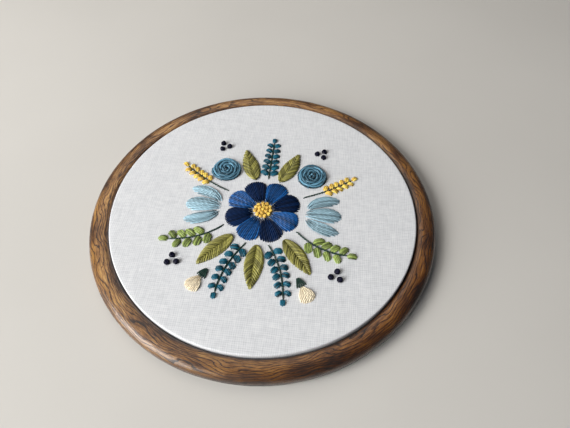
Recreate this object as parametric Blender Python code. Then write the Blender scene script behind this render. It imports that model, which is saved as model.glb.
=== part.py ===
"""Embroidered cloth stretched in a round 6 inch hoop that lies on its back.

The hoop is a stiff inner ring and a flexible outer ring, with the cloth drawn drum-tight over the
inner one and held between the two. The stitched flowers stand on the cloth as low domed pads.
The origin is on the surface under the middle of the hoop. +Z is the way the cloth faces, and +Y is
the way the flowers grow. Lengths are in millimetres up to the point where a mesh is made.
"""

import math
from collections import namedtuple

import bmesh
import bpy
from mathutils import Vector

MM = 0.001  # metres in a millimetre
FIT_GAP = 0.3  # between two pieces that touch

# The hoop and its cloth
CLOTH_RADIUS = 75.0  # edge of the cloth that shows, a nominal 6 inch hoop
CLOTH_FACE = 8.5  # height of the cloth's face over the surface
CLOTH_THICKNESS = 1.0
CLOTH_ROLL = 2.2  # outer radius of the cloth's bend over the inner ring
CLOTH_HEM_HEIGHT = 0.9  # where the cloth is trimmed, close to the back
RING_OUTER_RADIUS = 85.0
RING_CREST = 7.75  # highest line of the outer ring
RING_WAIST = 3.9  # height at which the outer ring is widest
RING_FULLNESS = 2.4  # 2 gives a round crest, and more a squarer one
RING_INNER_CORNER = 1.2
RING_OUTER_CORNER = 2.4
INNER_RING_WIDTH = 4.2
INNER_RING_BACK = 0.5  # the inner ring stands this far off the surface
INNER_RING_CORNER = 0.8
ROUND_STEPS = 72
CREST_STEPS = 10
CORNER_STEPS = 2
CLOTH_ROLL_STEPS = 4
SHARP_EDGE = 50  # degrees over which an edge stays hard

# The stitched design, which is symmetric about the Y axis
SIDES = ((-1, "left"), (1, "right"))
MIDDLE = Vector((0.0, -3.0))  # middle of the daisy, from which the other motifs spread
THREAD_HEIGHT = 0.9
PETAL_COUNT = 8
PETAL_START, PETAL_END = 5.6, 19.2
PETAL_HALF_WIDTH = 5.6
HEART_RADIUS, HEART_HEIGHT = 4.8, 1.9
TULIP_ANGLE, TULIP_START = 0.5, 20.0
ROSE_ANGLE, ROSE_DISTANCE = 47.0, 33.0
ROSE_RADIUS, ROSE_HEIGHT = 8.0, 2.0
BERRY_RADIUS, BERRY_HEIGHT = 1.6, 1.3
BERRY_SPREAD = 2.4  # from the middle of three berries to each of them
DOME_STEPS = 24
BERRY_STEPS = 10
DOME_WALL = 0.25  # share of a dome's height at which it is widest
DOME_FOOT = 0.85  # share of its radius on which it stands

# Across a pad, from one edge over its crown to the other: share of its half width and of its height
ARCH = ((-1.0, 0.0), (-0.86, 0.62), (-0.45, 0.93), (0.0, 1.0), (0.45, 0.93), (0.86, 0.62), (1.0, 0.0))

# Colour as sRGB hex, with roughness
COLOURS = {
    "grained_ring": ("8B6335", 0.45),
    "ivory_ring": ("E9E4D8", 0.40),
    "white_cloth": ("DDE1E5", 0.90),
    "navy_thread": ("0C2C66", 0.50),
    "royal_thread": ("134C9C", 0.50),
    "pale_blue_thread": ("93C0DF", 0.50),
    "dusty_blue_thread": ("6A93B8", 0.55),
    "teal_thread": ("12708F", 0.50),
    "olive_thread": ("8E9B4A", 0.50),
    "light_green_thread": ("A3C161", 0.50),
    "dark_green_thread": ("1D3B34", 0.55),
    "gold_thread": ("EDBE4B", 0.50),
    "cream_thread": ("EFE0C2", 0.50),
    "ink_thread": ("16184A", 0.50),
}

# Motifs made along a line. Angle and distances are polar about MIDDLE, in degrees and millimetres.
# Turn is how far the tip swings on from the base, and bow how far the line bends sideways.
Motif = namedtuple("Motif", "name outline angle turn start end bow half_width colour")
CENTRE_MOTIFS = (
    Motif("leaf_bottom", "leaf", -90, 0, 20.6, 43.0, 0.0, 4.4, "olive_thread"),
)
SIDE_MOTIFS = (
    Motif("leaf_top", "leaf", 72, -2, 20.2, 42.0, -0.4, 4.3, "olive_thread"),
    Motif("leaf_side", "leaf", -53, 1, 20.4, 42.0, 0.4, 4.2, "olive_thread"),
    Motif("calyx", "leaf", -60, 0, 40.6, 45.2, 0.0, 1.7, "dark_green_thread"),
    Motif("bud", "bud", -60, 0, 45.8, 53.5, 0.0, 3.6, "cream_thread"),
)
# Stems that carry leaflets in pairs, or by turns where staggered, and one more at the tip. First is
# the share of the stem where they start, slant their angle to it, and shrink how much smaller they end.
Sprig = namedtuple(
    "Sprig", "name angle turn start end bow leaflets first staggered slant length width shrink colour"
)
CENTRE_SPRIGS = (
    Sprig("frond_top", 90, 0, 20.2, 46.5, 0.0, 6, 0.12, False, 60, 4.8, 3.1, 0.3, "teal_thread"),
)
SIDE_SPRIGS = (
    Sprig("wheat", 28, 1.5, 21.5, 49.5, -1.0, 5, 0.42, False, 45, 3.8, 2.2, 0.1, "gold_thread"),
    Sprig("spray", -31, 4, 20.4, 47.0, -2.6, 4, 0.28, True, 50, 6.2, 3.5, 0.2, "light_green_thread"),
    Sprig("frond", -75, 3, 20.2, 48.5, 2.0, 6, 0.14, False, 60, 4.6, 3.0, 0.3, "teal_thread"),
)
STEM_HALF_WIDTH = 0.6
STEM_POINTS = 60  # along a stem, for reading places off it
LAST_LEAFLET = 0.88  # share of the stem at which the last pair grows
LEAFLET_POINTS = 6  # round one leaflet
LEAFLET_ROOT = 160  # degrees from the leaflet's tip to where it meets its stem
RIM_INSET, RIM_DROP = 0.2, 0.4  # softens the upper edge of a sprig
# Three berries round each of these places, on both sides
Trio = namedtuple("Trio", "name angle distance")
TRIOS = (Trio("berry_top", 57, 48.5), Trio("berry_low", -41, 49.5))

# Petals of a tulip, in its own frame: along its axis, then sideways
TulipPetal = namedtuple("TulipPetal", "name base bend tip half_width")
TULIP_PETALS = (
    TulipPetal("mid", (0.6, 0.0), (9.0, 0.0), (19.0, 0.0), 4.2),
    TulipPetal("upper", (1.8, 2.6), (5.0, 8.8), (18.0, 9.6), 3.1),
    TulipPetal("lower", (1.8, -2.6), (5.0, -8.8), (18.0, -9.6), 3.1),
)


def linear(channel):
    """One sRGB channel from 0 to 1 as linear light."""
    return channel / 12.92 if channel <= 0.04045 else ((channel + 0.055) / 1.055) ** 2.4


def material(name):
    """The Principled material of this name, made when it is first asked for."""
    made = bpy.data.materials.get(name)
    if made:
        return made
    hex_colour, roughness = COLOURS[name]
    rgb = [linear(int(hex_colour[i:i + 2], 16) / 255) for i in (0, 2, 4)]
    made = bpy.data.materials.new(name)
    made.use_nodes = True
    shader = made.node_tree.nodes["Principled BSDF"]
    shader.inputs["Base Color"].default_value = (*rgb, 1)
    shader.inputs["Roughness"].default_value = roughness
    shader.inputs["Metallic"].default_value = 0.0
    return made


def add_object(name, bm, colour, location=(0.0, 0.0, 0.0)):
    """Makes the finished mesh an object of the scene, shaded smooth but for its hard edges."""
    bmesh.ops.recalc_face_normals(bm, faces=bm.faces)
    mesh = bpy.data.meshes.new(name)
    bm.to_mesh(mesh)
    bm.free()
    mesh.shade_smooth()
    mesh.set_sharp_from_angle(angle=math.radians(SHARP_EDGE))
    made = bpy.data.objects.new(name, mesh)
    made.data.materials.append(material(colour))
    made.location = Vector(location) * MM
    bpy.context.scene.collection.objects.link(made)
    return made


def turned(name, profile, steps, colour, location=(0.0, 0.0, 0.0)):
    """Turns a profile of (radius, height) points about Z.

    The profile is a closed loop, or a line that starts and ends on the axis.
    """
    bm = bmesh.new()
    points = [bm.verts.new((radius * MM, 0.0, height * MM)) for radius, height in profile]
    edges = [bm.edges.new(pair) for pair in zip(points, points[1:])]
    if profile[0][0] > 0:
        edges.append(bm.edges.new((points[-1], points[0])))
    bmesh.ops.spin(
        bm, geom=points + edges, cent=(0, 0, 0), axis=(0, 0, 1), angle=math.tau,
        steps=steps, use_merge=True,
    )
    bmesh.ops.remove_doubles(bm, verts=bm.verts, dist=0.001 * MM)
    return add_object(name, bm, colour, location)


def arc(centre, radii, start, end, steps, fullness=2.0):
    """Points of an ellipse arc between two angles in degrees, squarer where fullness is over 2."""
    points = []
    for i in range(steps + 1):
        angle = math.radians(start + (end - start) * i / steps)
        across, up = math.cos(angle), math.sin(angle)
        points.append((
            centre[0] + radii[0] * math.copysign(abs(across) ** (2 / fullness), across),
            centre[1] + radii[1] * math.copysign(abs(up) ** (2 / fullness), up),
        ))
    return points


def outer_ring():
    """The thick flexible ring: a full round crest, with a flat back that it lies on."""
    inner = CLOTH_RADIUS + FIT_GAP
    middle = (inner + RING_OUTER_RADIUS) / 2
    crest = arc(
        (middle, RING_WAIST), (RING_OUTER_RADIUS - middle, RING_CREST - RING_WAIST),
        0, 180, CREST_STEPS, RING_FULLNESS,
    )
    inner_corner = arc(
        (inner + RING_INNER_CORNER, RING_INNER_CORNER), (RING_INNER_CORNER, RING_INNER_CORNER),
        180, 270, CORNER_STEPS,
    )
    outer_corner = arc(
        (RING_OUTER_RADIUS - RING_OUTER_CORNER, RING_OUTER_CORNER),
        (RING_OUTER_CORNER, RING_OUTER_CORNER), 270, 360, CORNER_STEPS,
    )
    turned("outer_ring", crest + inner_corner + outer_corner, ROUND_STEPS, "grained_ring")


def inner_ring():
    """The stiff ring under the cloth, seen from behind, with rounded corners."""
    outer = CLOTH_RADIUS - CLOTH_THICKNESS - FIT_GAP
    inner = outer - INNER_RING_WIDTH
    top = CLOTH_FACE - CLOTH_THICKNESS - FIT_GAP
    round_off = INNER_RING_CORNER
    profile = []
    for radius, height, start in (
        (outer - round_off, top - round_off, 0),
        (inner + round_off, top - round_off, 90),
        (inner + round_off, INNER_RING_BACK + round_off, 180),
        (outer - round_off, INNER_RING_BACK + round_off, 270),
    ):
        profile += arc((radius, height), (round_off, round_off), start, start + 90, CORNER_STEPS)
    turned("inner_ring", profile, ROUND_STEPS, "ivory_ring")


def cloth():
    """The round of cloth: flat over the hoop, bent over the inner ring, and down between the rings."""
    bend = (CLOTH_RADIUS - CLOTH_ROLL, CLOTH_FACE - CLOTH_ROLL)
    inside_roll = CLOTH_ROLL - CLOTH_THICKNESS
    outside = arc(bend, (CLOTH_ROLL, CLOTH_ROLL), 90, 0, CLOTH_ROLL_STEPS)
    inside = arc(bend, (inside_roll, inside_roll), 0, 90, CLOTH_ROLL_STEPS)
    profile = [(0.0, CLOTH_FACE)] + outside
    profile += [(CLOTH_RADIUS, CLOTH_HEM_HEIGHT), (CLOTH_RADIUS - CLOTH_THICKNESS, CLOTH_HEM_HEIGHT)]
    profile += inside + [(0.0, CLOTH_FACE - CLOTH_THICKNESS)]
    turned("cloth", profile, ROUND_STEPS, "white_cloth")


def polar(angle, distance):
    """A point of the design at this angle and distance from its middle."""
    around = math.radians(angle)
    return MIDDLE + distance * Vector((math.cos(around), math.sin(around)))


def bent_line(base, bend, tip, count):
    """Points along the curve from base to tip that the point bend pulls sideways."""
    points = []
    for i in range(count):
        t = i / (count - 1)
        points.append(base * (1 - t) ** 2 + bend * 2 * t * (1 - t) + tip * t ** 2)
    return points


def leaf_outline(count):
    """Pointed at both ends and widest below the middle."""
    return [max(0.1, math.sin(math.pi * (i / (count - 1)) ** 0.85) ** 0.8) for i in range(count)]


def petal_outline(count):
    """Narrow at its base, widening to a broad round tip."""
    shares = []
    for i in range(count):
        t = i / (count - 1)
        opening = 0.25 + 0.75 * math.sin(math.pi / 2 * min(1.0, t / 0.65))
        rounding = math.sqrt(max(0.0, 1 - max(0.0, (t - 0.65) / 0.35) ** 2))
        shares.append(opening * max(0.35, rounding))
    return shares


OUTLINES = {"leaf": leaf_outline(8), "bud": petal_outline(7), "petal": petal_outline(9)}


def side_of(line, i):
    """Unit vector across a line, to the left of its direction at point i."""
    ahead = (line[min(i + 1, len(line) - 1)] - line[max(i - 1, 0)]).normalized()
    return Vector((-ahead.y, ahead.x))


def pad(name, line, half_widths, colour):
    """A low solid along a line on the cloth, flat underneath and arched across."""
    bm = bmesh.new()
    widest = max(half_widths)
    loops = []
    for i, (point, half) in enumerate(zip(line, half_widths)):
        side = side_of(line, i)
        height = THREAD_HEIGHT * (0.5 + 0.5 * half / widest)
        loop = []
        for across, up in ARCH:
            place = point + side * half * across
            loop.append(bm.verts.new((place.x * MM, place.y * MM, height * up * MM)))
        loops.append(loop)
    for near, far in zip(loops, loops[1:]):
        for i in range(len(ARCH)):
            j = (i + 1) % len(ARCH)
            bm.faces.new((near[i], near[j], far[j], far[i]))
    bm.faces.new(loops[0])
    bm.faces.new(loops[-1])
    return add_object(name, bm, colour, (0.0, 0.0, CLOTH_FACE + FIT_GAP))


def leaflet(root, along, sideways, length, width):
    """Points round one leaflet, from its root out to its tip and back."""
    centre = root + along * length / 2
    points = []
    for i in range(LEAFLET_POINTS + 1):
        turn = math.radians(LEAFLET_ROOT * (1 - 2 * i / LEAFLET_POINTS))
        points.append(
            centre + along * (length / 2) * math.cos(turn) + sideways * (width / 2) * math.sin(turn)
        )
    return points


def sprig_outline(sprig, line, side):
    """Points round a stem and its leaflets: up its right side, round the tip and down its left side."""
    sides = ([], [])
    last = len(line) - 1
    for hand, points in ((-1, sides[0]), (1, sides[1])):
        points.append(line[0] + side_of(line, 0) * hand * STEM_HALF_WIDTH)
        for n in range(sprig.leaflets):
            later = 0.5 if sprig.staggered and hand == side else 0.0
            spaces = sprig.leaflets - (0.5 if sprig.staggered else 1.0)
            share = sprig.first + (LAST_LEAFLET - sprig.first) * (n + later) / spaces
            i = round(share * last)
            out = side_of(line, i) * hand
            ahead = Vector((out.y, -out.x)) * hand
            slant = math.radians(sprig.slant)
            along = ahead * math.cos(slant) + out * math.sin(slant)
            sideways = out * math.cos(slant) - ahead * math.sin(slant)
            size = 1 - sprig.shrink * n / sprig.leaflets
            points += leaflet(line[i] + out * STEM_HALF_WIDTH, along, sideways,
                              sprig.length * size, sprig.width * size)
    across = side_of(line, last)
    ahead = Vector((across.y, -across.x))
    size = 1 - sprig.shrink
    tip = leaflet(line[last], ahead, -across, sprig.length * size, sprig.width * size)
    return sides[0] + tip + sides[1][::-1]


def cut_out(name, outline, colour):
    """A low solid with this outline, its upper edge softened."""
    bm = bmesh.new()
    under = bm.faces.new([bm.verts.new((point.x * MM, point.y * MM, 0.0)) for point in outline])
    bm.normal_update()
    raised = bmesh.ops.extrude_face_region(bm, geom=[under], use_keep_orig=True)
    top = next(piece for piece in raised["geom"] if isinstance(piece, bmesh.types.BMFace))
    bmesh.ops.translate(bm, verts=top.verts, vec=(0, 0, THREAD_HEIGHT * MM))
    rim = list(top.verts)
    bmesh.ops.inset_region(bm, faces=[top], thickness=RIM_INSET * MM)
    bmesh.ops.translate(bm, verts=rim, vec=(0, 0, -RIM_DROP * MM))
    return add_object(name, bm, colour, (0.0, 0.0, CLOTH_FACE + FIT_GAP))


def dome(name, place, radius, height, steps, colour):
    """A round raised motif, flat underneath."""
    wall = DOME_WALL * height
    crown = arc((0.0, wall), (radius, height - wall), 90, 0, 3)
    profile = [(0.0, height)] + crown[1:] + [(DOME_FOOT * radius, 0.0), (0.0, 0.0)]
    turned(name, profile, steps, colour, (place.x, place.y, CLOTH_FACE + FIT_GAP))


def daisy():
    """The big middle flower: satin petals, dark and bright in turn, round a heart of gold knots."""
    half_turn = math.pi / PETAL_COUNT
    for i in range(PETAL_COUNT):
        angle = 360 * (i + 0.5) / PETAL_COUNT
        line = bent_line(polar(angle, PETAL_START), polar(angle, (PETAL_START + PETAL_END) / 2),
                         polar(angle, PETAL_END), len(OUTLINES["petal"]))
        half_widths = []
        for point, share in zip(line, OUTLINES["petal"]):
            room = (point - MIDDLE).length * math.tan(half_turn) - FIT_GAP / 2 / math.cos(half_turn)
            half_widths.append(min(share * PETAL_HALF_WIDTH, room))
        pad(f"daisy_petal_{i + 1}", line, half_widths, ("navy_thread", "royal_thread")[i % 2])
    dome("daisy_heart", MIDDLE, HEART_RADIUS, HEART_HEIGHT, DOME_STEPS, "gold_thread")


def on_side(side, point):
    """The point as it lies on this side of the Y axis, 1 for +X and -1 for -X."""
    return Vector((side * point.x, point.y))


def tulip(side, side_name):
    """A flower seen from the side, with three petals that open outwards."""
    base = polar(TULIP_ANGLE, TULIP_START)
    along = (base - MIDDLE).normalized()
    across = Vector((-along.y, along.x))
    shares = OUTLINES["petal"]
    for petal in TULIP_PETALS:
        points = [base + along * a + across * b for a, b in (petal.base, petal.bend, petal.tip)]
        line = bent_line(*[on_side(side, point) for point in points], len(shares))
        half_widths = [share * petal.half_width for share in shares]
        pad(f"tulip_{side_name}_{petal.name}", line, half_widths, "pale_blue_thread")


def motif_line(motif, side, count):
    """Points along the curve that a motif of the tables follows, on this side of the Y axis."""
    base = polar(motif.angle, motif.start)
    tip = polar(motif.angle + motif.turn, motif.end)
    ahead = (tip - base).normalized()
    bend = (base + tip) / 2 + motif.bow * 2 * Vector((-ahead.y, ahead.x))
    return bent_line(*[on_side(side, point) for point in (base, bend, tip)], count)


def along_line(motif, side, name):
    """A leaf or bud of the tables."""
    shares = OUTLINES[motif.outline]
    half_widths = [share * motif.half_width for share in shares]
    pad(name, motif_line(motif, side, len(shares)), half_widths, motif.colour)


def sprig_motif(sprig, side, name):
    """A stem with its leaflets, fused in one low solid."""
    line = motif_line(sprig, side, STEM_POINTS)
    cut_out(name, sprig_outline(sprig, line, side), sprig.colour)


def berries(trio, side, side_name):
    """Three round knots close together."""
    middle = polar(trio.angle, trio.distance)
    for i in range(3):
        turn = math.radians(trio.angle + 120 * i)
        place = middle + BERRY_SPREAD * Vector((math.cos(turn), math.sin(turn)))
        dome(f"{trio.name}_{side_name}_{i + 1}", on_side(side, place), BERRY_RADIUS, BERRY_HEIGHT,
             BERRY_STEPS, "ink_thread")


for old in list(bpy.data.objects):
    bpy.data.objects.remove(old)

outer_ring()
inner_ring()
cloth()
daisy()
for centre_motif in CENTRE_MOTIFS:
    along_line(centre_motif, 1, centre_motif.name)
for centre_sprig in CENTRE_SPRIGS:
    sprig_motif(centre_sprig, 1, centre_sprig.name)
for side_sign, side_word in SIDES:
    tulip(side_sign, side_word)
    dome(f"rose_{side_word}", on_side(side_sign, polar(ROSE_ANGLE, ROSE_DISTANCE)), ROSE_RADIUS,
         ROSE_HEIGHT, DOME_STEPS, "dusty_blue_thread")
    for side_motif in SIDE_MOTIFS:
        along_line(side_motif, side_sign, f"{side_motif.name}_{side_word}")
    for side_sprig in SIDE_SPRIGS:
        sprig_motif(side_sprig, side_sign, f"{side_sprig.name}_{side_word}")
    for berry_trio in TRIOS:
        berries(berry_trio, side_sign, side_word)
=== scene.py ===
import math
import random
from collections import namedtuple

import bpy
import numpy as np
from mathutils import Matrix, Vector, noise


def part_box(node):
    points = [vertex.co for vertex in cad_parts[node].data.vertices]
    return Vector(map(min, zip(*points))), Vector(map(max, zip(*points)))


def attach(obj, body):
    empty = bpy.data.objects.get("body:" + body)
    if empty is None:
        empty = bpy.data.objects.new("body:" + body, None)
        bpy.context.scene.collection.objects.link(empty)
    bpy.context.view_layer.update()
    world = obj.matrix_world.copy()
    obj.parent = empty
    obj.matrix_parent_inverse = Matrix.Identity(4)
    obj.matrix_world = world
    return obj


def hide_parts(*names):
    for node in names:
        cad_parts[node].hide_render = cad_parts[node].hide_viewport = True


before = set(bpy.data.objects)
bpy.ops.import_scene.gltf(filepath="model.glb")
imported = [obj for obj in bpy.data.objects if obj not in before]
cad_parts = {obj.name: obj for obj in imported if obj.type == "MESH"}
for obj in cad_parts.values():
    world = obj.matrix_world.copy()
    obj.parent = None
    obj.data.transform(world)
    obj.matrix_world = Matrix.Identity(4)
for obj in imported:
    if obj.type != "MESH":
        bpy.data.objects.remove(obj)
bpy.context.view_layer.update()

# Round hoop embroidery, lying on its back. The sections follow the work as it is put together: the
# flexible outer ring, the stiff inner ring, the cloth, and then each stitched motif from the middle
# of the design outwards. Meshes are worked out in millimetres, which MM turns into metres.
MM = 0.001


# Outer ring
# A thick flexible ring moulded in soft vinyl, with oak figure printed and pressed into its skin.
# It snaps over the cloth and the inner ring, and its own stretch is all that holds it.
CLOTH_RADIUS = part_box("cloth")[1][0] / MM
RING_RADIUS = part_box("outer_ring")[1][0] / MM
RING_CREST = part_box("outer_ring")[1][2] / MM
RING_BORE = CLOTH_RADIUS + 0.1
RING_WAIST = 3.9  # height at which the ring is widest
RING_FULLNESS, RING_BORE_FULLNESS = 2.4, 3.0  # 2 gives a round shoulder, and more a squarer one
RING_BORE_CORNER, RING_FOOT_CORNER = 1.2, 2.4
RING_STEPS = 720
RING_RELIEF = 0.05  # how far the moulded skin rises and falls
RELIEF_RATE = (0.12, 0.12, 0.5)  # swellings in a millimetre, along the ring (x, y) and across it (z)
FLAT_FOOT = 0.2  # height below which the skin has no relief
RING_SHADE_SIDE = (0.9, -0.45, 0.0)  # the way towards the side on which shade is painted into the print's colour
RING_SHADE_START, RING_SHADE_END = -36.0, 76.0  # how far that way the painted shade starts and ends
# Places across the skin, measured from the bore's foot, under the ring and up its outside.
RING_WALL_LOW, RING_CREST_PLACE, RING_INNER_EDGE = 10.5, 20.5, 26.0
GROWTH_LINES = 0.75  # lines of the oak figure in a millimetre across the skin
GROWTH_SWELL, GROWTH_WAVER = 9.0, 1.0  # lines by which the figure wanders, widely and finely
# Changes of the oak figure in a millimetre, along the ring (x, y) and across its skin (z).
SWELL_RATE, WAVER_RATE = (0.045, 0.045, 0.12), (0.15, 0.15, 0.7)
# The patches are grain, shifted so that pale and dark ones fall where the ring is lit and shaded: in part
# painted light and shade.
PATCH_RATE, PATCH_SHIFT = (0.05, 0.05, 0.16), (4.0, 11.0, 2.0)
PORE_RATE, FIBRE_RATE = (0.3, 0.3, 3.2), (0.12, 0.12, 1.2)
EARLY_WOOD_SHARE, PATCH_SHARE = 0.42, -0.7  # what the lines add to the dark pores, and the patches take


def linear_colour(hex_colour, strength=1.0):
    """A colour written as sRGB hex, as linear light times strength, with full alpha."""
    channels = [int(hex_colour[i:i + 2], 16) / 255 for i in (0, 2, 4)]
    light = [c / 12.92 if c <= 0.04045 else ((c + 0.055) / 1.055) ** 2.4 for c in channels]
    return (*[min(1.0, c * strength) for c in light], 1.0)


def add(tree, kind, inputs, stops=(), **settings):
    """Adds a node with its settings, and sets or links its inputs.

    Stops are a colour ramp's, each a place and a colour, in sRGB hex or already linear.
    """
    node = tree.nodes.new("ShaderNode" + kind)
    for name, value in settings.items():
        setattr(node, name, value)
    for key, value in inputs.items():
        if isinstance(value, bpy.types.Node):
            tree.links.new(value.outputs[0], node.inputs[key])
        elif isinstance(value, bpy.types.NodeSocket):
            tree.links.new(value, node.inputs[key])
        else:
            node.inputs[key].default_value = value
    for i, (place, colour) in enumerate(stops):
        ends = {0: 0, len(stops) - 1: -1}
        stop = node.color_ramp.elements[ends[i]] if i in ends else node.color_ramp.elements.new(place)
        stop.position = place
        stop.color = linear_colour(colour) if isinstance(colour, str) else colour
    return node


def new_material(name, **sockets):
    """A Principled material with these sockets set, its node tree and its shader."""
    material = bpy.data.materials.new(name)
    material.use_nodes = True
    shader = material.node_tree.nodes["Principled BSDF"]
    for socket, value in sockets.items():
        shader.inputs[socket.replace("_", " ")].default_value = value
    return material, material.node_tree, shader


def feed(tree, shader, **nodes):
    """Links nodes into the shader's sockets of these names."""
    for socket, node in nodes.items():
        tree.links.new(node.outputs[0], shader.inputs[socket.replace("_", " ")])


def arc(centre, radii, start, end, steps, fullness=2.0):
    """Points of an ellipse arc between two angles in degrees, squarer where fullness is over 2."""
    points = []
    for i in range(steps + 1):
        angle = math.radians(start + (end - start) * i / steps)
        across, up = math.cos(angle), math.sin(angle)
        points.append((
            centre[0] + radii[0] * math.copysign(abs(across) ** (2 / fullness), across),
            centre[1] + radii[1] * math.copysign(abs(up) ** (2 / fullness), up),
        ))
    return points


def add_piece(name, points, faces, material, mark_name, marks):
    """Makes a smooth piece, and keeps one vector for each of its points for the material to read."""
    mesh = bpy.data.meshes.new(name)
    mesh.from_pydata((np.asarray(points) * MM).tolist(), [], faces)
    mesh.shade_smooth()
    mesh.materials.append(material)
    kept = mesh.attributes.new(mark_name, "FLOAT_VECTOR", "POINT")
    kept.data.foreach_set("vector", np.asarray(marks, dtype=np.float32).ravel())
    piece = bpy.data.objects.new(name, mesh)
    bpy.context.scene.collection.objects.link(piece)
    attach(piece, "root")
    return piece


def turned_ring(name, profile, steps, relief, material):
    """Turns a closed profile of (radius, height) points about the hoop's axis.

    Each point keeps its place along the ring's middle line and its distance across the skin, so
    that a grain runs round the ring without a seam. The profile starts where none would see one.
    """
    profile = np.array(profile)
    count = len(profile)
    gaps = np.linalg.norm(np.diff(profile, axis=0), axis=1)
    across = np.concatenate([[0.0], np.cumsum(gaps)])
    outward = np.roll(profile, -1, axis=0) - np.roll(profile, 1, axis=0)
    outward = np.stack([outward[:, 1], -outward[:, 0]], 1)
    outward /= np.linalg.norm(outward, axis=1, keepdims=True)
    middle = profile[:, 0].mean()
    points, grain = [], []
    for i in range(steps):
        angle = math.tau * i / steps
        x, y = math.cos(angle), math.sin(angle)
        for (radius, height), (out, up), place in zip(profile, outward, across):
            mark = (x * middle, y * middle, place)
            rise = relief * noise.noise(Vector(np.multiply(mark, RELIEF_RATE)))
            rise *= min(1.0, max(0.0, height - FLAT_FOOT))
            points.append((x * (radius + out * rise), y * (radius + out * rise), height + up * rise))
            grain.append(mark)
    faces = []
    for i in range(steps):
        near, far = i * count, (i + 1) % steps * count
        for j in range(count):
            k = (j + 1) % count
            faces.append((near + j, far + j, far + k, near + k))
    return add_piece(name, points, faces, material, "grain", grain)


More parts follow.
